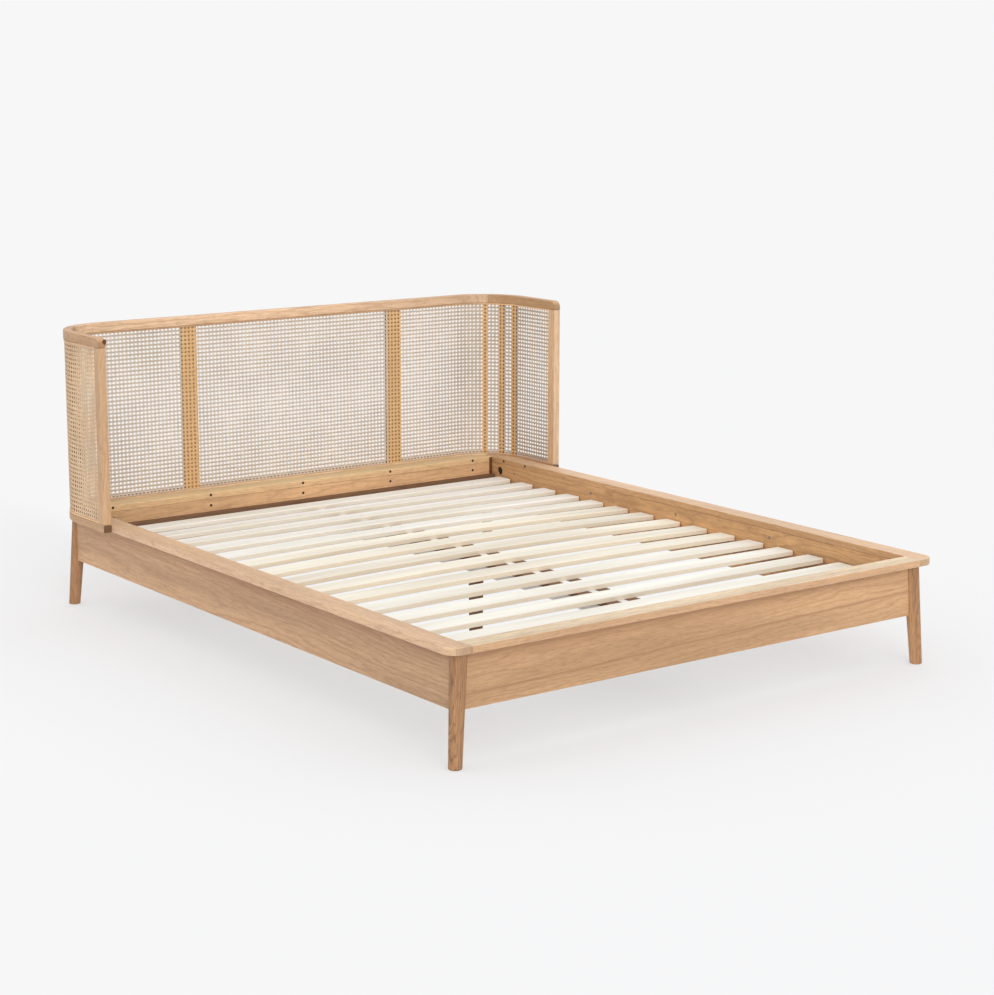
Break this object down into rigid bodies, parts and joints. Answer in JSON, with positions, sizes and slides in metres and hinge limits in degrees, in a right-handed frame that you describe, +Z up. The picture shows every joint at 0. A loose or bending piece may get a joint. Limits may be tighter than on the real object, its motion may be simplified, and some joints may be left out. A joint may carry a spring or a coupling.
{
  "type": "platform bed frame with caned headboard",
  "caption": "Low slatted platform bed on splayed round legs, with a U-shaped double-skinned cane headboard that wraps round the head of the frame.",
  "frame": {"origin": "on the floor at the middle of the footprint", "axes": "+X to the right seen from the foot, +Y from the foot to the head, +Z up"},
  "size_m": [1.7006, 2.08, 0.861],
  "materials": {
    "oak": "satin",
    "leg_oak": "satin",
    "bearer_wood": "matte",
    "slat_pine": "matte",
    "beam_wood": "matte",
    "cane": "satin"
  },
  "bodies": {
    "root": {"board_side_left": "oak", "board_side_right": "oak", "board_foot": "oak", "board_head": "oak", "cap_side_left": "oak", "cap_side_right": "oak", "cap_foot": "oak", "cap_head": "oak", "headboard_top_rail_back": "oak", "headboard_top_rail_left": "oak", "headboard_top_rail_right": "oak", "headboard_bottom_rail_back": "oak", "headboard_bottom_rail_left": "oak", "headboard_bottom_rail_right": "oak", "headboard_post_left": "oak", "headboard_post_right": "oak", "headboard_stile_left": "oak", "headboard_stile_right": "oak", "headboard_strip_left_1": "oak", "headboard_strip_left_2": "oak", "headboard_strip_left_3": "oak", "headboard_strip_right_1": "oak", "headboard_strip_right_2": "oak", "headboard_strip_right_3": "oak", "leg_front_left": "leg_oak", "leg_front_right": "leg_oak", "leg_rear_left": "leg_oak", "leg_rear_right": "leg_oak", "bearer_left": "bearer_wood", "bearer_right": "bearer_wood", "bearer_head": "bearer_wood", "slat_01": "slat_pine", "slat_02": "slat_pine", "slat_03": "slat_pine", "slat_04": "slat_pine", "slat_05": "slat_pine", "slat_06": "slat_pine", "slat_07": "slat_pine", "slat_08": "slat_pine", "slat_09": "slat_pine", "slat_10": "slat_pine", "slat_11": "slat_pine", "slat_12": "slat_pine", "slat_13": "slat_pine", "slat_14": "slat_pine", "slat_15": "slat_pine", "centre_upright": "slat_pine", "centre_batten_left": "beam_wood", "centre_batten_right": "beam_wood", "leg_centre": "beam_wood", "cane_inner_back": "cane", "cane_inner_left": "cane", "cane_inner_right": "cane", "cane_outer_back": "cane", "cane_outer_left": "cane", "cane_outer_right": "cane"}
  },
  "joints": []
}
